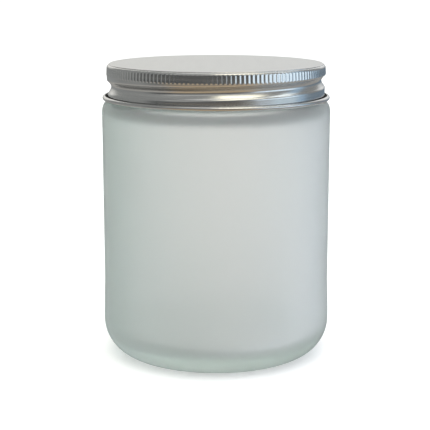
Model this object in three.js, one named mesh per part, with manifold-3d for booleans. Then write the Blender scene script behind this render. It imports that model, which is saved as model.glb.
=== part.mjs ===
// Empty candle jar: a frosted glass jar with a screw neck, its pressed aluminium
// screw lid, and the foam liner that sits in the lid.
// Millimetres, +Z up. The origin is the centre of the face the jar stands on.
// Azimuths are measured from the front (-Y), turning towards +X.
import * as THREE from 'three';
import { mergeVertices } from 'three/addons/utils/BufferGeometryUtils.js';
import Module from 'manifold-3d';

const wasm = await Module();
wasm.setup();

// ---- driving dimensions ----

const SIDES = 60; // flats round every turned shape
const CLEARANCE = 0.3; // gap kept between pieces that touch on the real object

const JAR_HEIGHT = 91.9;
const HEEL_RADIUS = 36.75; // the widest place, just above the heel
const HEEL_STRAIGHT = 3; // how far the wall stays at the heel's width
const PANEL_RADIUS = 36.45; // the straight wall where a label would go
const PANEL_START = 24.1;
const PANEL_END = 71.6;
const SHOULDER_RADIUS = 36.5;
const WALL = 3.25;
const FOOT_INNER_RADIUS = 24.6; // the ring the jar stands on
const FOOT_OUTER_RADIUS = 26.9;
const HEEL_HEIGHT = 11.1;
const PUSH_UP = 1.2; // how far the underside rises inside the foot ring
const PUSH_UP_SLOPE = 2.6; // how wide the rise is
const PUSH_UP_RIM = 0.96; // its height at the top of that slope
const FLOOR_HEIGHT = 6.6;
const FLOOR_FILLET = 4.5;
const SHOULDER_START = 78.6;
const SHOULDER_TOP = 82.3;
const SHOULDER_WIDTH = 2.2;
const INNER_SHOULDER_START = 76.9; // where the inner wall starts to close in
const INNER_SHOULDER_RISE = 2.6;
const INNER_SHOULDER_SWEEP = 65; // degrees of that curve, before the bore's flare
const NECK_RADIUS = 33;
const NECK_FILLET = 0.6;
const BORE_RADIUS = 30;
const BORE_STRAIGHT_FROM = 83.3; // above this the bore is a plain cylinder
const RIM_ROUND = 0.8;

const THREAD_PITCH = 4.23; // six turns to the inch, one start, right-handed
const BEAD_DEPTH = 1.2;
const BEAD_CREST_HALF = 0.5;
const BEAD_ROOT_HALF = 1.2;
const BEAD_BURY = 0.6; // how deep the bead is rooted in the neck
const BEAD_FRONT_HEIGHT = 89.97; // centre of the glass bead at azimuth 0
const BEAD_FROM = -335; // azimuths in degrees
const BEAD_TO = 45;
const BEAD_FADE = 22;

const LID_HEIGHT = 94; // top of the lid above the ground
const SHEET = 0.3;
const LID_RADIUS = 34.85;
const LID_CORNER = 0.75;
const GROOVE_DEPTH = 1.25; // the lid's own thread, rolled inwards
const GROOVE_HALF = 1.7;
const GROOVE_FRONT_HEIGHT = BEAD_FRONT_HEIGHT - THREAD_PITCH / 2;
const GROOVE_FROM = -190;
const GROOVE_TO = 160;
const GROOVE_FADE = 28;
const SKIRT_ROWS_FROM = 91;
const SKIRT_ROWS_TO = 83.9;
const SKIRT_ROWS = 13;

const CURL_RADIUS = 0.68; // centre line of the rolled edge
const CURL_BOTTOM = 82.65;
const CURL_SWEEP = 250; // degrees from the skirt round to the free edge

const TEETH = 160;
const TOOTH_CREST_RADIUS = 35.1;
const TOOTH_VALLEY_RADIUS = 34.9;
const KNURL_BOTTOM = 90.4;
const KNURL_TOP = 93.2;

const LINER_THICKNESS = 1.2;
const LINER_RADIUS = 33.6;

// ---- profile helpers: points are (radius, height) ----

const point = (radius, height) => new THREE.Vector2(radius, height);

function arc(centreRadius, centreHeight, across, up, fromDegrees, toDegrees, steps) {
  const points = [];
  for (let i = 0; i <= steps; i += 1) {
    const angle = THREE.MathUtils.degToRad(fromDegrees + ((toDegrees - fromDegrees) * i) / steps);
    points.push(point(centreRadius + across * Math.cos(angle), centreHeight + up * Math.sin(angle)));
  }
  return points;
}

// A strip of even thickness that follows a centre line, as one closed outline.
function stripOutline(centreLine, thickness) {
  const onSide = (side) => centreLine.map((here, i) => {
    const before = centreLine[Math.max(i - 1, 0)];
    const after = centreLine[Math.min(i + 1, centreLine.length - 1)];
    const along = after.clone().sub(before).normalize();
    const offset = (side * thickness) / 2;
    return point(Math.max(here.x + along.y * offset, 0), here.y - along.x * offset);
  });
  return [...onSide(1), ...onSide(-1).reverse()];
}

// Turns a profile about the Z axis. The profile runs anticlockwise round the solid.
function turned(profile) {
  const geometry = new THREE.LatheGeometry(profile, SIDES);
  geometry.rotateX(Math.PI / 2);
  return closedGeometry(geometry);
}

// ---- solids ----

// Merges shared corners and drops the flat triangles left where points coincide.
function closedGeometry(geometry) {
  geometry.deleteAttribute('normal');
  geometry.deleteAttribute('uv');
  const merged = mergeVertices(geometry);
  const index = [];
  const all = merged.getIndex().array;
  for (let i = 0; i < all.length; i += 3) {
    const [a, b, c] = [all[i], all[i + 1], all[i + 2]];
    if (a !== b && b !== c && c !== a) index.push(a, b, c);
  }
  merged.setIndex(index);
  return merged;
}

function toSolid(geometry) {
  const vertProperties = new Float32Array(geometry.getAttribute('position').array);
  const triVerts = new Uint32Array(geometry.getIndex().array);
  return new wasm.Manifold(new wasm.Mesh({ numProp: 3, vertProperties, triVerts }));
}

function toGeometry(solid) {
  const mesh = solid.getMesh();
  const geometry = new THREE.BufferGeometry();
  geometry.setAttribute('position', new THREE.BufferAttribute(mesh.vertProperties, 3));
  geometry.setIndex(new THREE.BufferAttribute(mesh.triVerts, 1));
  return geometry;
}

function joined(first, second) {
  return toGeometry(toSolid(first).add(toSolid(second)));
}

// ---- thread helpers ----

// 0 at both ends of a run of azimuths, 1 along its middle.
function fadeAlong(azimuth, from, to, fade) {
  const rise = THREE.MathUtils.smoothstep(azimuth, from, from + fade);
  const fall = 1 - THREE.MathUtils.smoothstep(azimuth, to - fade, to);
  return rise * fall;
}

const climb = (azimuth) => (THREAD_PITCH * azimuth) / 360;

// A ridge on the neck: a ring with a blunt section, wound up the helix and faded at both ends.
function neckBead() {
  const root = NECK_RADIUS - BEAD_BURY;
  const crest = NECK_RADIUS + BEAD_DEPTH;
  const section = [
    point(root, -BEAD_ROOT_HALF),
    point(crest, -BEAD_CREST_HALF),
    point(crest, BEAD_CREST_HALF),
    point(root, BEAD_ROOT_HALF),
    point(root, -BEAD_ROOT_HALF),
  ];
  const steps = Math.round(((BEAD_TO - BEAD_FROM) / 360) * SIDES);
  const from = THREE.MathUtils.degToRad(BEAD_FROM);
  const sweep = THREE.MathUtils.degToRad(BEAD_TO - BEAD_FROM);
  const geometry = new THREE.LatheGeometry(section, steps, from, sweep);
  geometry.rotateX(Math.PI / 2);
  const position = geometry.getAttribute('position');
  for (let i = 0; i < position.count; i += 1) {
    const step = Math.floor(i / section.length);
    const azimuth = BEAD_FROM + ((BEAD_TO - BEAD_FROM) * step) / steps;
    const fade = fadeAlong(azimuth, BEAD_FROM, BEAD_TO, BEAD_FADE);
    const ring = Math.hypot(position.getX(i), position.getY(i));
    const scale = (root + (ring - root) * fade) / ring;
    const height = position.getZ(i) * fade + BEAD_FRONT_HEIGHT + climb(azimuth);
    position.setXYZ(i, position.getX(i) * scale, position.getY(i) * scale, height);
  }
  return closedGeometry(geometry);
}

// How far the lid's thread presses the skirt inwards at an azimuth and height.
function grooveDepth(azimuth, height) {
  let depth = 0;
  for (const along of [azimuth - 360, azimuth, azimuth + 360]) {
    const away = Math.abs(height - GROOVE_FRONT_HEIGHT - climb(along)) / GROOVE_HALF;
    if (away < 1) {
      const section = 0.5 + 0.5 * Math.cos(Math.PI * away);
      depth += GROOVE_DEPTH * section * fadeAlong(along, GROOVE_FROM, GROOVE_TO, GROOVE_FADE);
    }
  }
  return depth;
}

function pressGroove(geometry) {
  const position = geometry.getAttribute('position');
  for (let i = 0; i < position.count; i += 1) {
    const [x, y, z] = [position.getX(i), position.getY(i), position.getZ(i)];
    const ring = Math.hypot(x, y);
    const onSkirt = ring > LID_RADIUS - 2 * SHEET && ring < LID_RADIUS + SHEET / 2;
    if (onSkirt && z < SKIRT_ROWS_FROM && z > SKIRT_ROWS_TO) {
      const azimuth = THREE.MathUtils.radToDeg(Math.atan2(x, -y));
      const scale = 1 - grooveDepth(azimuth, z) / ring;
      position.setXY(i, x * scale, y * scale);
    }
  }
  return geometry;
}

// ---- the pieces ----

// The underside: the push-up, the foot ring and the round heel.
function footProfile() {
  const heelWidth = HEEL_RADIUS - FOOT_OUTER_RADIUS;
  return [
    point(0, PUSH_UP),
    point(FOOT_INNER_RADIUS - PUSH_UP_SLOPE, PUSH_UP_RIM),
    point(FOOT_INNER_RADIUS, 0),
    ...arc(FOOT_OUTER_RADIUS, HEEL_HEIGHT, heelWidth, HEEL_HEIGHT, -90, 0, 8),
  ];
}

// The outside of the wall and the shoulder, up to the neck.
function outerProfile() {
  const shoulderCentre = SHOULDER_RADIUS - SHOULDER_WIDTH;
  const shoulderHeight = SHOULDER_TOP - SHOULDER_START;
  const filletCentre = NECK_RADIUS + NECK_FILLET;
  const filletHeight = SHOULDER_TOP + NECK_FILLET;
  return [
    point(HEEL_RADIUS, HEEL_HEIGHT + HEEL_STRAIGHT),
    point(PANEL_RADIUS, PANEL_START),
    point(PANEL_RADIUS, PANEL_END),
    ...arc(shoulderCentre, SHOULDER_START, SHOULDER_WIDTH, shoulderHeight, 0, 90, 6),
    ...arc(filletCentre, filletHeight, NECK_FILLET, NECK_FILLET, -90, -180, 2),
  ];
}

// The rounded rim.
function rimProfile() {
  const height = JAR_HEIGHT - RIM_ROUND;
  return [
    ...arc(NECK_RADIUS - RIM_ROUND, height, RIM_ROUND, RIM_ROUND, 0, 90, 3),
    ...arc(BORE_RADIUS + RIM_ROUND, height, RIM_ROUND, RIM_ROUND, 90, 180, 3),
  ];
}

// The bore, the inner wall and the floor, from the top down.
function innerProfile() {
  const innerWall = PANEL_RADIUS - WALL;
  const shoulderWidth = innerWall - BORE_RADIUS;
  const filletCentre = innerWall - FLOOR_FILLET;
  const filletHeight = FLOOR_HEIGHT + FLOOR_FILLET;
  return [
    point(BORE_RADIUS, BORE_STRAIGHT_FROM),
    ...arc(
      BORE_RADIUS,
      INNER_SHOULDER_START,
      shoulderWidth,
      INNER_SHOULDER_RISE,
      INNER_SHOULDER_SWEEP,
      0,
      3,
    ),
    ...arc(filletCentre, filletHeight, FLOOR_FILLET, FLOOR_FILLET, 0, -90, 5),
    point(0, FLOOR_HEIGHT),
  ];
}

function jarProfile() {
  return [...footProfile(), ...outerProfile(), ...rimProfile(), ...innerProfile()];
}

function glassJar() {
  return joined(turned(jarProfile()), neckBead());
}

// The centre line of the lid's sheet: top plate, corner, skirt, then the rolled edge.
function lidCentreLine() {
  const middleRadius = LID_RADIUS - SHEET / 2;
  const middleTop = LID_HEIGHT - SHEET / 2;
  const corner = LID_CORNER - SHEET / 2;
  const curlHeight = CURL_BOTTOM + CURL_RADIUS + SHEET / 2;
  const skirt = [];
  for (let i = 0; i < SKIRT_ROWS; i += 1) {
    const down = (SKIRT_ROWS_FROM - SKIRT_ROWS_TO) * (i / (SKIRT_ROWS - 1));
    skirt.push(point(middleRadius, SKIRT_ROWS_FROM - down));
  }
  return [
    point(0, middleTop),
    ...arc(middleRadius - corner, middleTop - corner, corner, corner, 90, 0, 3),
    ...skirt,
    ...arc(middleRadius + CURL_RADIUS, curlHeight, CURL_RADIUS, CURL_RADIUS, 180, 180 + CURL_SWEEP, 8),
  ];
}

// The ribs round the lid's upper edge, as a toothed ring rooted in the sheet.
function knurlRing() {
  const outline = [];
  for (let i = 0; i < TEETH * 2; i += 1) {
    const angle = (Math.PI * i) / TEETH;
    const radius = i % 2 === 0 ? TOOTH_CREST_RADIUS : TOOTH_VALLEY_RADIUS;
    outline.push(point(radius * Math.cos(angle), radius * Math.sin(angle)));
  }
  const inside = [];
  const insideRadius = LID_RADIUS - SHEET / 2;
  for (let i = 0; i < SIDES; i += 1) {
    const angle = (2 * Math.PI * i) / SIDES;
    inside.push(point(insideRadius * Math.cos(angle), insideRadius * Math.sin(angle)));
  }
  const shape = new THREE.Shape(outline);
  shape.holes.push(new THREE.Path(inside));
  const geometry = new THREE.ExtrudeGeometry(shape, {
    depth: KNURL_TOP - KNURL_BOTTOM,
    bevelEnabled: false,
  });
  geometry.translate(0, 0, KNURL_BOTTOM);
  return closedGeometry(geometry);
}

function screwLid() {
  const shell = pressGroove(turned(stripOutline(lidCentreLine(), SHEET)));
  return joined(shell, knurlRing());
}

function lidLiner() {
  const top = LID_HEIGHT - SHEET - CLEARANCE;
  return turned([
    point(0, top - LINER_THICKNESS),
    point(LINER_RADIUS, top - LINER_THICKNESS),
    point(LINER_RADIUS, top),
    point(0, top),
  ]);
}

// ---- the assembly ----

const materials = {
  glass: new THREE.MeshStandardMaterial({ color: 0xc9d2cc, roughness: 0.55, metalness: 0 }),
  aluminium: new THREE.MeshStandardMaterial({ color: 0xc8c8c6, roughness: 0.35, metalness: 1 }),
  foam: new THREE.MeshStandardMaterial({ color: 0xf2f1ec, roughness: 0.9, metalness: 0 }),
};

function node(name, geometry, material) {
  geometry.computeVertexNormals();
  const mesh = new THREE.Mesh(geometry, material);
  mesh.name = name;
  return mesh;
}

const candleJar = new THREE.Group();
candleJar.name = 'candle_jar';
candleJar.add(node('glass_jar', glassJar(), materials.glass));
candleJar.add(node('lid_liner', lidLiner(), materials.foam));
candleJar.add(node('screw_lid', screwLid(), materials.aluminium));

export default candleJar;
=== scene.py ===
"""Looks of the empty candle jar: frosted glass jar, knurled aluminium screw lid, foam liner.

Shapes are worked out in millimetres in the part's own frame (+Z up, the jar stands at height 0,
-Y is the front) and turned into metres when a mesh is made. Azimuths start at the front and turn
towards +X, the way the right-handed thread climbs.
"""

import math

import bpy
import numpy as np
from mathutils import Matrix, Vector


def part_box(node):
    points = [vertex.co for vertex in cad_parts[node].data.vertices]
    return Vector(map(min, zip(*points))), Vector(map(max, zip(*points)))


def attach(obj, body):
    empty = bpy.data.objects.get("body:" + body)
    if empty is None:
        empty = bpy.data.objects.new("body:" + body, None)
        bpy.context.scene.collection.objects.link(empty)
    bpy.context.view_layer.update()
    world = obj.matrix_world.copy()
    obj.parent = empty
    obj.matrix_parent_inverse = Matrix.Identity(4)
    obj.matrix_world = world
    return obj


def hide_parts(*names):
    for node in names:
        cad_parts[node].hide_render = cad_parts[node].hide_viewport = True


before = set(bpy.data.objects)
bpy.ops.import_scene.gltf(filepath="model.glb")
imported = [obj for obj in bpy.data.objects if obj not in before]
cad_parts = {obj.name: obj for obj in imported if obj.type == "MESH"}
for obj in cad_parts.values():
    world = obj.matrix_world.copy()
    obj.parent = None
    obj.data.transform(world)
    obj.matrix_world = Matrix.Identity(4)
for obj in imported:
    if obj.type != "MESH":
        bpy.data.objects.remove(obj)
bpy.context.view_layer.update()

MM = 0.001
TINY = 1e-6
SLACK = 0.05
_, JAR_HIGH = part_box("glass_jar")
LID_LOW, LID_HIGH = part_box("screw_lid")
LINER_LOW, LINER_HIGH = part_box("lid_liner")

# ---- driving dimensions, in millimetres and degrees ----

# The jar, from its foot up.
JAR_HEIGHT = JAR_HIGH.z / MM
HEEL_RADIUS = JAR_HIGH.x / MM
PANEL_RADIUS = HEEL_RADIUS - 0.3
SHOULDER_RADIUS = HEEL_RADIUS - 0.25
WALL = 3.25
FOOT_INNER = 24.6
FOOT_OUTER = 26.9
FOOT_EDGE = 0.2
HEEL_HEIGHT = 11.1
HEEL_STRAIGHT = 3.0
PANEL_START = HEEL_HEIGHT + 13.0
PUSH_UP = 1.2
PUSH_UP_RIM = PUSH_UP * 0.85
PUSH_UP_SLOPE = 2.6
PUSH_UP_END = 25
FLOOR_HEIGHT = 6.6
FLOOR_CROWN = 0.4
FLOOR_FILLET = 4.5
SHOULDER_START = 78.6
PANEL_END = SHOULDER_START - 7.0
SHOULDER_TOP = 82.3
SHOULDER_WIDTH = 2.2
INNER_SHOULDER_DROP = 5.4
INNER_SHOULDER_RISE = 2.6
INNER_SHOULDER_SWEEP = 78
NECK_RADIUS = 33.0
NECK_FILLET = 0.6
BORE_RADIUS = 30.0
BORE_FOOT = 1.0
RIM_ROUND = 0.8

# The thread's bead on the neck. Runs are in degrees from the front.
THREAD_PITCH = 4.23
BEAD_DEPTH = 1.1
BEAD_HALF = 1.3
BEAD_FLANK = BEAD_HALF * 0.62
BEAD_FRONT = 89.97
BEAD_RUN = (-335.0, 45.0)
BEAD_FADE = 22.0

# The lid: its top, the groove of its thread, the skirt, the rolled edge and the ribs.
LID_TOP = LID_HIGH.z / MM
SHEET = 0.3
LID_RADIUS = 34.85
LID_CORNER = 0.75
PLATE_RADIUS = 33.95
PLATE_RISE = 0.25
PLATE_CREASE = 0.05
PLATE_LEAN = 0.02
GROOVE_DEPTH = 1.25
GROOVE_ABOVE = 2.3
GROOVE_BELOW = 2.75
GROOVE_TIP = 0.32
GROOVE_EASE = 2.2
GROOVE_FRONT = BEAD_FRONT - THREAD_PITCH / 2
GROOVE_RUN = (-190.0, 160.0)
GROOVE_FADE = 28.0
SKIRT_BOTTOM = 83.5
SKIRT_FADE = 0.9
SKIRT_STRAIGHT = 2.0
SKIRT_TAPER = 0.25
SKIRT_BAND = 0.7
CURL_ACROSS = 0.82
CURL_UP = 0.62
CURL_BOTTOM = LID_LOW.z / MM - 0.15
CURL_SWEEP = 250.0
TEETH = 160
KNURL_CREST = 0.10
KNURL_VALLEY = 0.03
KNURL_SPAN = (90.4, 93.25)
KNURL_FADE_LOW = 0.2
KNURL_FADE_HIGH = 0.3
KNURL_FLARE = 0.15

# The liner, and the dent that the jar's rim leaves in it.
LINER_RADIUS = LINER_HIGH.x / MM
LINER_EDGE = 0.3
LINER_BRIM = 0.02
DENT_DEPTH = 0.18
DENT_SLOPE = 0.5
DENT_INNER = BORE_RADIUS - 0.2


# ---- profiles: arrays of (radius, height) ----

def line(start, end, steps):
    t = np.linspace(0.0, 1.0, steps + 1)[:, None]
    return np.array(start) * (1 - t) + np.array(end) * t


def arc(centre, across, up, from_deg, to_deg, steps):
    a = np.radians(np.linspace(from_deg, to_deg, steps + 1))
    return np.column_stack([centre[0] + across * np.cos(a), centre[1] + up * np.sin(a)])


def chain(*parts):
    """Joins stretches of profile and drops the points that coincide."""
    points = np.vstack(parts)
    step = np.linalg.norm(np.diff(points, axis=0), axis=1)
    return points[np.r_[True, step > TINY]]


def smooth(x):
    x = np.clip(x, 0.0, 1.0)
    return x * x * (3 - 2 * x)


# ---- thread ----

def fade_along(azimuth, run, fade):
    return smooth((azimuth - run[0]) / fade) * smooth((run[1] - azimuth) / fade)


def wound(azimuth, height, centre_at_front, run, fade, section):
    """Sums a thread's section over the turns that pass an azimuth, faded at both ends."""
    total = 0.0
    for turn in (-360.0, 0.0, 360.0):
        along = azimuth + turn
        away = height - centre_at_front - THREAD_PITCH * along / 360.0
        total = total + section(away) * fade_along(along, run, fade)
    return total


def bead_section(away):
    """Blunt glass ridge: a flat-topped hump."""
    return BEAD_DEPTH * smooth((BEAD_HALF - np.abs(away)) / BEAD_FLANK)


def groove_section(away):
    """Rolled groove: a rounded V with a longer slope below it than above."""
    half = np.where(away > 0, GROOVE_ABOVE, GROOVE_BELOW)
    u = np.clip(np.abs(away) / half, 0.0, 1.0)
    blunt = np.sqrt(u * u + GROOVE_TIP ** 2) - GROOVE_TIP
    blunt_v = 1 - blunt / (math.sqrt(1 + GROOVE_TIP ** 2) - GROOVE_TIP)
    rounded = np.cos(np.pi / 2 * u) ** 2
    depth = (blunt_v + rounded) / 2
    return GROOVE_DEPTH * depth * smooth(depth * GROOVE_EASE)


def knurl(azimuth, height):
    """Ribs pressed outwards round the lid's upper edge."""
    wave = 0.5 + 0.5 * np.cos(np.radians(azimuth * TEETH))
    low, high = KNURL_SPAN
    window = smooth((height - low) / KNURL_FADE_LOW) * smooth((high - height) / KNURL_FADE_HIGH)
    return window * ((KNURL_CREST + KNURL_VALLEY) * wave - KNURL_VALLEY)


# ---- meshes ----

def ring_of(radius, height, count, shape=None):
    """One ring of points. shape(radius, height, azimuths) may move the radius."""
    azimuth = np.linspace(0.0, 360.0, count, endpoint=False)
    azimuth = (azimuth + 180.0) % 360.0 - 180.0
    r = np.full(count, radius)
    if shape:
        r = shape(r, height, azimuth)
    a = np.radians(azimuth)
    return np.column_stack([r * np.sin(a), -r * np.cos(a), np.full(count, height)])


def stitch(a, count_a, b, count_b):
    """Faces between two rings whose counts are equal, or one a multiple of the other."""
    faces = []
    if count_a == count_b:
        for i in range(count_a):
            j = (i + 1) % count_a
            faces.append((a + i, a + j, b + j, b + i))
    elif count_a > count_b:
        many = count_a // count_b
        for i in range(count_b):
            j = (i + 1) % count_b
            for k in range(many):
                near = i if k < many // 2 else j
                faces.append((a + i * many + k, a + (i * many + k + 1) % count_a, b + near))
            faces.append((a + i * many + many // 2, b + j, b + i))
    else:
        faces = [tuple(reversed(f)) for f in stitch(b, count_b, a, count_a)]
    return faces


def turned(name, profile, count_at, shape=None):
    """Turns a profile about Z. A point on the axis becomes one vertex.

    count_at(i) is the number of vertices in ring i, and shape may move their radii.
    """
    points = []
    faces = []
    before = None
    for i, (radius, height) in enumerate(profile):
        start = len(points)
        if radius < TINY:
            points.append((0.0, 0.0, height))
            count = 1
        else:
            count = count_at(i)
            points.extend(ring_of(radius, height, count, shape).tolist())
        if before:
            first, first_count = before
            if first_count == 1:
                faces += [(first, start + (k + 1) % count, start + k) for k in range(count)]
            elif count == 1:
                faces += [(first + k, first + (k + 1) % first_count, start) for k in range(first_count)]
            else:
                faces += stitch(first, first_count, start, count)
        before = (start, count)
    mesh = bpy.data.meshes.new(name)
    mesh.from_pydata((np.array(points) * MM).tolist(), [], faces)
    mesh.validate()
    mesh.shade_smooth()
    piece = bpy.data.objects.new(name, mesh)
    bpy.context.scene.collection.objects.link(piece)
    return piece


# ---- glass jar ----

JAR_SIDES = 256


def jar_profile():
    inner_wall = PANEL_RADIUS - WALL
    inner_shoulder = SHOULDER_TOP - INNER_SHOULDER_DROP
    bulge = inner_wall - BORE_RADIUS
    shoulder_inside = SHOULDER_RADIUS - SHOULDER_WIDTH
    shoulder_height = SHOULDER_TOP - SHOULDER_START
    slope_start = FOOT_INNER - PUSH_UP_SLOPE
    heel_width = HEEL_RADIUS - FOOT_OUTER
    neck_foot = SHOULDER_TOP + NECK_FILLET
    rim_foot = JAR_HEIGHT - RIM_ROUND
    fillet_top = FLOOR_HEIGHT + FLOOR_FILLET
    floor_edge = inner_wall - FLOOR_FILLET
    return chain(
        line((0, PUSH_UP), (slope_start, PUSH_UP_RIM), 8),
        arc((slope_start, 0.0), PUSH_UP_SLOPE, PUSH_UP_RIM, 90, PUSH_UP_END, 5),
        line((FOOT_INNER + FOOT_EDGE, 0.0), (FOOT_OUTER, 0.0), 4),
        arc((FOOT_OUTER, HEEL_HEIGHT), heel_width, HEEL_HEIGHT, -90, 0, 28),
        line((HEEL_RADIUS, HEEL_HEIGHT + HEEL_STRAIGHT), (PANEL_RADIUS, PANEL_START), 5),
        line((PANEL_RADIUS, PANEL_START), (PANEL_RADIUS, PANEL_END), 24),
        line((PANEL_RADIUS, PANEL_END), (SHOULDER_RADIUS, SHOULDER_START), 4),
        arc((shoulder_inside, SHOULDER_START), SHOULDER_WIDTH, shoulder_height, 0, 90, 14),
        arc((NECK_RADIUS + NECK_FILLET, neck_foot), NECK_FILLET, NECK_FILLET, 270, 180, 5),
        line((NECK_RADIUS, neck_foot), (NECK_RADIUS, rim_foot), 44),
        arc((NECK_RADIUS - RIM_ROUND, rim_foot), RIM_ROUND, RIM_ROUND, 0, 90, 7),
        arc((BORE_RADIUS + RIM_ROUND, rim_foot), RIM_ROUND, RIM_ROUND, 90, 180, 7),
        line((BORE_RADIUS, rim_foot), (BORE_RADIUS, SHOULDER_TOP + BORE_FOOT), 6),
        arc((BORE_RADIUS, inner_shoulder), bulge, INNER_SHOULDER_RISE, INNER_SHOULDER_SWEEP, 0, 12),
        line((inner_wall, inner_shoulder), (inner_wall, fillet_top), 24),
        arc((floor_edge, fillet_top), FLOOR_FILLET, FLOOR_FILLET, 0, -90, 14),
        line((floor_edge, FLOOR_HEIGHT), (0, FLOOR_HEIGHT + FLOOR_CROWN), 8),
    )


def neck_shape(radius, height, azimuth):
    """Adds the thread to the outside of the neck."""
    outside = np.abs(radius - NECK_RADIUS) < SLACK
    if not outside.any() or height < SHOULDER_TOP:
        return radius
    return radius + wound(azimuth, height, BEAD_FRONT, BEAD_RUN, BEAD_FADE, bead_section)


# ---- lid ----

LID_SIDES = 320
OUTER_FINE = 1280
INNER_FINE = 640


def curl_centre():
    foot = LID_RADIUS - SHEET / 2 - SKIRT_TAPER
    return foot + CURL_ACROSS, CURL_BOTTOM + CURL_UP + SHEET / 2


def plate_step(top, rim):
    """The small step at the top plate's edge, with rings close together so that it shades crisply."""
    inner = PLATE_RADIUS - PLATE_CREASE
    slope_top = top - PLATE_RISE * 0.15
    slope_foot = rim + PLATE_RISE * 0.1
    return chain(
        line((inner - 2 * PLATE_CREASE, top), (inner, top), 2),
        line((PLATE_RADIUS, slope_top), (PLATE_RADIUS + PLATE_LEAN, slope_foot), 2),
    )


def lid_centre_line():
    middle = LID_RADIUS - SHEET / 2
    top = LID_TOP - SHEET / 2
    rim = top - PLATE_RISE
    edge = middle - KNURL_FLARE
    corner = LID_CORNER - SHEET / 2
    centre, curl_height = curl_centre()
    foot = centre - CURL_ACROSS
    straight = SKIRT_BOTTOM + SKIRT_STRAIGHT
    return chain(
        line((0, top), (PLATE_RADIUS - 6 * PLATE_CREASE, top), 10),
        plate_step(top, rim),
        line((PLATE_RADIUS + 3 * PLATE_LEAN, rim), (edge - corner, rim), 2),
        arc((edge - corner, rim - corner), corner, corner, 90, 0, 8),
        line((edge, rim - corner), (middle, KNURL_SPAN[0]), 14),
        line((middle, KNURL_SPAN[0]), (foot, straight), 30),
        line((foot, straight), (foot, curl_height), 5),
        arc((centre, curl_height), CURL_ACROSS, CURL_UP, 180, 180 + CURL_SWEEP, 20),
    )


def strip(centre_line, thickness):
    """The closed outline of a sheet: its inner face outwards, then its outer face back."""
    along = np.gradient(centre_line, axis=0)
    along /= np.linalg.norm(along, axis=1)[:, None]
    along[0] = (1.0, 0.0)
    across = np.column_stack([along[:, 1], -along[:, 0]]) * thickness / 2
    end = centre_line[-1]
    tip = arc((0, 0), thickness / 2, thickness / 2, 0, 180, 6)[1:-1]
    turn = np.array([across[-1], along[-1] * thickness / 2]) / (thickness / 2)
    cap = end + tip @ turn
    return np.vstack([centre_line + across, cap, (centre_line - across)[::-1]])


def lid_shape(radius, height, azimuth):
    """Presses the thread and the ribs into the skirt, on both faces of the sheet."""
    skirt = (radius > LID_RADIUS - SKIRT_BAND) & (radius < LID_RADIUS + SLACK)
    if not skirt.any() or not SKIRT_BOTTOM <= height < LID_TOP - PLATE_RISE - SHEET:
        return radius
    groove = wound(azimuth, height, GROOVE_FRONT, GROOVE_RUN, GROOVE_FADE, groove_section)
    ribs = knurl(azimuth, height)
    fade_low = smooth((height - SKIRT_BOTTOM) / SKIRT_FADE)
    return radius - groove * fade_low + ribs


def build_lid():
    outline = strip(lid_centre_line(), SHEET)
    low, high = KNURL_SPAN

    def count_at(i):
        radius, height = outline[i]
        on_skirt = LID_RADIUS - SHEET - 2 * SLACK < radius < LID_RADIUS + SLACK
        if on_skirt and low - SLACK < height < high:
            return OUTER_FINE if radius > LID_RADIUS - SHEET / 2 else INNER_FINE
        return LID_SIDES

    return turned("screw_lid_shell", outline, count_at, lid_shape)


# ---- liner ----

LINER_SIDES = 192


def liner_profile():
    """A foam disc, dented from below where the jar's rim presses."""
    low = LINER_LOW.z / MM
    high = LINER_HIGH.z / MM
    dented = low + DENT_DEPTH
    edge = LINER_EDGE
    side = LINER_RADIUS - edge
    return chain(
        line((0, low), (DENT_INNER, low), 10),
        line((DENT_INNER + DENT_SLOPE, dented), (NECK_RADIUS - DENT_SLOPE, dented), 4),
        line((NECK_RADIUS, low + LINER_BRIM), (side, low), 2),
        arc((side, low + edge), edge, edge, -90, 0, 4),
        arc((side, high - edge), edge, edge, 0, 90, 4),
        line((side, high), (0, high), 10),
    )


# ---- materials ----

class Maths:
    """Math nodes in a node tree, as plain functions."""

    def __init__(self, tree):
        self.tree = tree

    def node(self, operation, *values):
        node = self.tree.nodes.new("ShaderNodeMath")
        node.operation = operation
        for socket, value in zip(node.inputs, values):
            if isinstance(value, (int, float)):
                socket.default_value = value
            else:
                self.tree.links.new(value, socket)
        return node.outputs[0]

    def step(self, value, low, high):
        node = self.tree.nodes.new("ShaderNodeMapRange")
        node.interpolation_type = "SMOOTHSTEP"
        node.inputs["From Min"].default_value = low
        node.inputs["From Max"].default_value = high
        self.tree.links.new(value, node.inputs["Value"])
        return node.outputs[0]

    def band(self, value, span, soft):
        rise = self.step(value, span[0] - soft / 2, span[0] + soft / 2)
        fall = self.step(value, span[1] + soft / 2, span[1] - soft / 2)
        return self.node("MULTIPLY", rise, fall)


# A mix node has several pairs of sockets called A and B, so they are reached by number.
FLOAT_A, FLOAT_B, FLOAT_RESULT = 2, 3, 0
COLOUR_A, COLOUR_B, COLOUR_RESULT = 6, 7, 2


def mixed(tree, mask, first, second):
    """A colour mix; first and second are sockets or plain colours."""
    node = tree.nodes.new("ShaderNodeMix")
    node.data_type = "RGBA"
    tree.links.new(mask, node.inputs["Factor"])
    for number, value in ((COLOUR_A, first), (COLOUR_B, second)):
        if isinstance(value, tuple):
            node.inputs[number].default_value = (*value, 1)
        else:
            tree.links.new(value, node.inputs[number])
    return node.outputs[COLOUR_RESULT]


# The middle stretch of a noise's values, which remap and colours spread out.
NOISE_LOW = 0.3
NOISE_HIGH = 0.7


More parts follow.
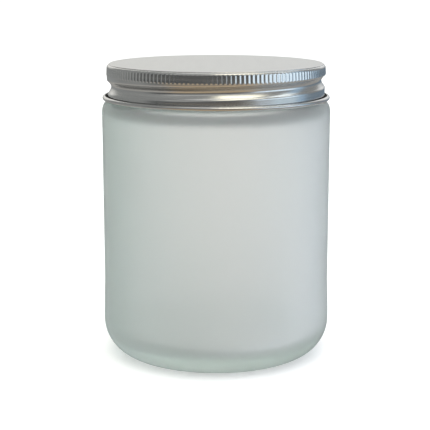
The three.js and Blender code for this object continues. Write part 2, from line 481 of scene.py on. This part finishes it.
class Shader:
    """A material's node tree with one Principled shader."""

    def __init__(self, name):
        self.material = bpy.data.materials.new(name)
        self.material.use_nodes = True
        self.tree = self.material.node_tree
        self.tree.nodes.clear()
        self.output = self.tree.nodes.new("ShaderNodeOutputMaterial")
        self.surface = self.tree.nodes.new("ShaderNodeBsdfPrincipled")
        self.link(self.surface.outputs[0], self.output.inputs["Surface"])
        self.place = self.tree.nodes.new("ShaderNodeTexCoord").outputs["Object"]

    def link(self, source, target):
        self.tree.links.new(source, target)

    def set(self, **values):
        for name, value in values.items():
            self.surface.inputs[name.replace("_", " ")].default_value = value

    def paint(self, colour):
        self.link(colour, self.surface.inputs["Base Color"])

    def roughen(self, value):
        self.link(value, self.surface.inputs["Roughness"])

    def noise(self, scale, detail=4.0, stretch=(1, 1, 1)):
        mapping = self.tree.nodes.new("ShaderNodeMapping")
        mapping.inputs["Scale"].default_value = stretch
        self.link(self.place, mapping.inputs["Vector"])
        node = self.tree.nodes.new("ShaderNodeTexNoise")
        node.inputs["Scale"].default_value = scale
        node.inputs["Detail"].default_value = detail
        self.link(mapping.outputs[0], node.inputs["Vector"])
        return node.outputs["Fac"]

    def remap(self, value, low, high):
        node = self.tree.nodes.new("ShaderNodeMapRange")
        node.inputs["From Min"].default_value = NOISE_LOW
        node.inputs["From Max"].default_value = NOISE_HIGH
        node.inputs["To Min"].default_value = low
        node.inputs["To Max"].default_value = high
        self.link(value, node.inputs["Value"])
        return node.outputs[0]

    def colours(self, value, low, high):
        node = self.tree.nodes.new("ShaderNodeValToRGB")
        first, last = node.color_ramp.elements
        first.position = NOISE_LOW
        last.position = NOISE_HIGH
        first.color = (*low, 1)
        last.color = (*high, 1)
        self.link(value, node.inputs[0])
        return node.outputs[0]

    def between(self, mask, first, second):
        node = self.tree.nodes.new("ShaderNodeMix")
        self.link(mask, node.inputs["Factor"])
        self.link(first, node.inputs[FLOAT_A])
        self.link(second, node.inputs[FLOAT_B])
        return node.outputs[FLOAT_RESULT]

    def bump(self, value, strength, depth_mm):
        node = self.tree.nodes.new("ShaderNodeBump")
        node.inputs["Strength"].default_value = strength
        node.inputs["Distance"].default_value = depth_mm * MM
        self.link(value, node.inputs["Height"])
        self.link(node.outputs[0], self.surface.inputs["Normal"])


def absorb(shader, colour, density):
    node = shader.tree.nodes.new("ShaderNodeVolumeAbsorption")
    node.inputs["Color"].default_value = (*colour, 1)
    node.inputs["Density"].default_value = density
    shader.link(node.outputs[0], shader.output.inputs["Volume"])


GLASS_TINT = (0.50, 0.78, 0.68)
GLASS_DENSITY = 12.0
ALUMINIUM_IOR = 1.45
NECK_WIDENED = 2.2
POLISH_MARGIN = 0.5
POLISH_BLUR = 0.1


def polished_side(glass):
    """1 on the bore, the inner wall and the floor, which are polished; 0 on the frosted outside.

    The neck is thinner than the jar, so its radius is widened to be measured against the same limit.
    """
    maths = Maths(glass.tree)
    split = glass.tree.nodes.new("ShaderNodeSeparateXYZ")
    glass.link(glass.place, split.inputs[0])
    x, y, z = split.outputs
    across = maths.node("MULTIPLY", x, x)
    radius = maths.node("SQRT", maths.node("MULTIPLY_ADD", y, y, across))
    in_neck = maths.step(z, (SHOULDER_TOP - 0.6) * MM, (SHOULDER_TOP - 0.2) * MM)
    widened = maths.node("MULTIPLY_ADD", in_neck, NECK_WIDENED * MM, radius)
    limit = (PANEL_RADIUS - WALL + POLISH_MARGIN) * MM
    blur = POLISH_BLUR * MM
    inside = maths.step(widened, limit + blur, limit - blur)
    half_floor = FLOOR_HEIGHT * MM / 2
    above_floor = maths.step(z, half_floor, half_floor * 1.2)
    return maths.node("MULTIPLY", inside, above_floor)


def jar_glass():
    """One glass, frosted outside and polished inside, so that the volume is entered and left evenly."""
    glass = Shader("frosted_glass")
    glass.set(Transmission_Weight=0.84, IOR=1.5)
    polished = polished_side(glass)
    cloud = glass.noise(scale=60, detail=5)
    ripple = glass.noise(scale=40, detail=2, stretch=(1, 1, 0.25))
    tint = mixed(
        glass.tree,
        polished,
        glass.colours(cloud, (0.96, 0.975, 0.97), (0.985, 0.99, 0.985)),
        glass.colours(ripple, (0.985, 0.99, 0.985), (0.995, 0.998, 0.995)),
    )
    glass.paint(tint)
    rough = glass.between(polished, glass.remap(cloud, 0.46, 0.56), glass.remap(ripple, 0.04, 0.12))
    glass.roughen(rough)
    grain = glass.noise(scale=2600, detail=3)
    glass.bump(glass.between(polished, grain, ripple), strength=0.25, depth_mm=0.05)
    absorb(glass, GLASS_TINT, GLASS_DENSITY)
    return glass.material


def satin_aluminium():
    """The skirt's bright satin sheet, with fine streaks along the way it was rolled."""
    metal = Shader("satin_aluminium")
    metal.set(Metallic=1.0, IOR=ALUMINIUM_IOR)
    streak = metal.noise(scale=900, detail=3, stretch=(0.03, 0.03, 1))
    metal.paint(metal.colours(streak, (0.74, 0.74, 0.735), (0.84, 0.84, 0.83)))
    metal.roughen(metal.remap(streak, 0.20, 0.27))
    metal.bump(metal.noise(scale=1400, detail=3), strength=0.12, depth_mm=0.04)
    return metal.material


def roll_painted_shade():
    """The hollow of the rolled edge: rougher metal, with its dark colour painted in as shade."""
    metal = Shader("roll_painted_shade")
    metal.set(Metallic=1.0, IOR=ALUMINIUM_IOR)
    grain = metal.noise(scale=700, detail=4)
    # painted shade: the near-black colour stands in for the shadow inside the rolled edge
    metal.paint(metal.colours(grain, (0.10, 0.10, 0.10), (0.17, 0.17, 0.165)))
    metal.roughen(metal.remap(grain, 0.45, 0.6))
    metal.bump(grain, strength=0.2, depth_mm=0.03)
    return metal.material


def satin_top():
    """The top plate, duller than the skirt and brushed one way."""
    metal = Shader("satin_aluminium_top")
    metal.set(Metallic=1.0, IOR=ALUMINIUM_IOR)
    grain = metal.noise(scale=300, detail=6, stretch=(1, 0.08, 1))
    metal.paint(metal.colours(grain, (0.78, 0.78, 0.77), (0.84, 0.84, 0.83)))
    metal.roughen(metal.remap(grain, 0.44, 0.52))
    metal.bump(metal.noise(scale=2200, detail=3), strength=0.2, depth_mm=0.03)
    return metal.material


def white_foam():
    """Closed-cell foam: soft white with a fine pattern of cells."""
    foam = Shader("white_foam")
    foam.set(Roughness=0.85, Subsurface_Weight=0.15, Subsurface_Scale=0.002)
    cell = foam.tree.nodes.new("ShaderNodeTexVoronoi")
    cell.inputs["Scale"].default_value = 1400
    foam.link(foam.place, cell.inputs["Vector"])
    foam.paint(foam.colours(cell.outputs["Distance"], (0.80, 0.80, 0.77), (0.93, 0.92, 0.90)))
    foam.bump(cell.outputs["Distance"], strength=0.5, depth_mm=0.12)
    return foam.material


# ---- pieces ----

LEVEL = 0.985
TOP_DEPTH = 0.8


def facing_up(face):
    """The lid's top plate and the flat rim round it."""
    return face.normal.z > LEVEL and face.center.z > LID_HIGH.z - TOP_DEPTH * MM


def inside_roll(face):
    """The hollow of the rolled edge, which gets the painted-shade material."""
    x, y, z = face.center
    radius = math.hypot(x, y)
    centre, height = curl_centre()
    outwards = (face.normal.x * x + face.normal.y * y) / max(radius, MM)
    across = centre * MM - radius
    up = height * MM - z
    near = abs(across) < CURL_ACROSS * MM and z < (height + CURL_UP) * MM
    return near and across * outwards + up * face.normal.z > 0


def build_pieces():
    jar = turned("glass_jar_body", jar_profile(), lambda i: JAR_SIDES, neck_shape)
    jar.data.materials.append(jar_glass())
    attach(jar, "jar")
    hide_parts("glass_jar")

    lid = build_lid()
    skirt, top, roll = range(3)
    lid.data.materials.append(satin_aluminium())
    lid.data.materials.append(satin_top())
    lid.data.materials.append(roll_painted_shade())
    for face in lid.data.polygons:
        # faces inside the rolled edge take the painted-shade material
        face.material_index = top if facing_up(face) else roll if inside_roll(face) else skirt
    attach(lid, "lid")
    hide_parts("screw_lid")

    liner = turned("lid_liner_disc", liner_profile(), lambda i: LINER_SIDES)
    liner.data.materials.append(white_foam())
    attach(liner, "liner")
    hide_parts("lid_liner")


# ---- stage, in metres and degrees ----

CAMERA_DISTANCE = 0.400
CAMERA_HEIGHT = 0.1261
CAMERA_DOWN = 11.53
CAMERA_RIGHT = -0.05
LENS = 104.7
SENSOR_WIDTH = 36.0
FLOOR_HALF = 8.0


def build_floor():
    mesh = bpy.data.meshes.new("floor")
    half = FLOOR_HALF
    corners = [(-half, -half, 0), (half, -half, 0), (half, half, 0), (-half, half, 0)]
    mesh.from_pydata(corners, [], [(0, 1, 2, 3)])
    floor = bpy.data.objects.new("floor", mesh)
    bpy.context.scene.collection.objects.link(floor)
    white = Shader("floor_paint")
    grain = white.noise(scale=8, detail=3)
    white.paint(white.colours(grain, (0.90, 0.90, 0.895), (0.92, 0.92, 0.915)))
    white.set(Roughness=0.9, Emission_Color=(1.0, 1.0, 1.0, 1.0), Emission_Strength=0.25)
    mesh.materials.append(white.material)
    floor.visible_glossy = False
    floor.visible_transmission = False


def build_camera():
    data = bpy.data.cameras.new("camera")
    data.lens = LENS
    data.sensor_width = SENSOR_WIDTH
    camera = bpy.data.objects.new("camera", data)
    camera.location = (0.0, -CAMERA_DISTANCE, CAMERA_HEIGHT)
    camera.rotation_euler = (math.radians(90 - CAMERA_DOWN), 0.0, math.radians(-CAMERA_RIGHT))
    bpy.context.scene.collection.objects.link(camera)
    bpy.context.scene.camera = camera


def softbox(name, azimuth, elevation, distance, size, power):
    """A square white light that faces the jar from an azimuth and elevation."""
    data = bpy.data.lights.new(name, "AREA")
    data.size = size
    data.energy = power
    lamp = bpy.data.objects.new(name, data)
    a = math.radians(azimuth)
    e = math.radians(elevation)
    middle = JAR_HEIGHT * MM / 2
    lamp.location = (
        distance * math.cos(e) * math.sin(a),
        -distance * math.cos(e) * math.cos(a),
        middle + distance * math.sin(e),
    )
    lamp.rotation_euler = (math.radians(90) - e, 0.0, a)
    bpy.context.scene.collection.objects.link(lamp)
    return lamp


# What the room looks like when it is mirrored in the metal and the glass. Each panel of the room is
# (azimuths, elevations, softness of its edges, colour), with angles in degrees and azimuths from the
# front. Later panels cover earlier ones.
ALL_ROUND = (-200, 200)
ROOM = (0.24, 0.245, 0.24)
PANELS = (
    ((-75, 30), (-90, 20), 18, (0.085, 0.088, 0.090)),
    ((30, 60), (-90, -2), 14, (0.25, 0.26, 0.26)),
    ((60, 92), (-90, -2), 10, (0.44, 0.54, 0.60)),
    ((92, 108), (-90, 40), 8, (0.30, 0.45, 0.60)),
    ((108, 200), (-90, 3), 12, (0.17, 0.22, 0.27)),
    ((-200, -125), (-90, 0), 15, (0.27, 0.28, 0.28)),
    ((-200, -145), (3, 60), 15, (0.88, 0.87, 0.83)),
    ((145, 200), (3, 60), 15, (0.86, 0.87, 0.87)),
    ((42, 94), (-4, 14), 7, (1.06, 1.25, 1.42)),
    ((-60, 60), (24, 36), 8, (0.55, 0.55, 0.53)),
    ((0, 64), (44, 68), 8, (2.00, 1.90, 1.55)),
    ((88, 110), (36, 68), 6, (1.40, 1.50, 1.52)),
    (ALL_ROUND, (68, 90), 8, (0.75, 0.75, 0.74)),
    (ALL_ROUND, (-90, -13), 8, (0.36, 0.35, 0.33)),
    ((-55, 50), (-90, -13), 12, (0.46, 0.36, 0.24)),
)


# What lights the floor, the foam and the frosted glass: a bright, even studio, dim and green near
# the floor except for a bright stretch on the right. Its panels' azimuths start at the back, which is
# what the camera sees through the jar, and are positive on the right.
STUDIO = (1.015, 0.955, 0.915)
STUDIO_PANELS = (
    ((-140, -30), (-90, 60), 60, (0.71, 0.87, 0.80)),
    ((40, 140), (-90, 60), 60, (0.82, 0.93, 1.11)),
    ((-200, 16), (-90, -15), 20, (0.165, 0.215, 0.21)),
    ((-200, -14), (-90, -8), 16, (0.19, 0.27, 0.245)),
    ((22, 85), (-90, -6), 20, (1.36, 1.38, 1.45)),
    ((-200, 60), (-90, -50), 20, (0.10, 0.13, 0.12)),
)


def build_world():
    """Mirrored rays see the room, the camera sees plain white, and all other rays see the studio."""
    world = bpy.data.worlds.new("studio")
    world.use_nodes = True
    bpy.context.scene.world = world
    tree = world.node_tree
    maths = Maths(tree)
    direction = tree.nodes.new("ShaderNodeSeparateXYZ")
    tree.links.new(tree.nodes.new("ShaderNodeTexCoord").outputs["Generated"], direction.inputs[0])
    x, y, z = direction.outputs
    front = maths.node("MULTIPLY", y, -1.0)
    from_front = maths.node("DEGREES", maths.node("ARCTAN2", x, front))
    from_back = maths.node("DEGREES", maths.node("ARCTAN2", x, y))
    elevation = maths.node("DEGREES", maths.node("ARCSINE", z))

    def with_panels(colour, panels, azimuth):
        for azimuths, elevations, soft, panel in panels:
            mask = maths.node(
                "MULTIPLY",
                maths.band(azimuth, azimuths, soft),
                maths.band(elevation, elevations, soft),
            )
            colour = mixed(tree, mask, colour, panel)
        return colour

    ray = tree.nodes.new("ShaderNodeLightPath").outputs
    studio = with_panels(STUDIO, STUDIO_PANELS, from_back)
    room = with_panels(ROOM, PANELS, from_front)
    mirrored = maths.node("SUBTRACT", ray["Is Glossy Ray"], ray["Is Transmission Ray"])
    light = mixed(tree, mirrored, studio, room)
    backdrop = mixed(tree, ray["Is Camera Ray"], light, (1.0, 1.0, 1.0))
    tree.links.new(backdrop, tree.nodes["Background"].inputs["Color"])


def build_stage():
    build_floor()
    build_camera()
    build_world()
    overhead = softbox("overhead", azimuth=20, elevation=80, distance=1.2, size=1.6, power=8.0)
    overhead.visible_glossy = False
    bpy.context.scene.view_settings.view_transform = "Standard"


build_pieces()
build_stage()
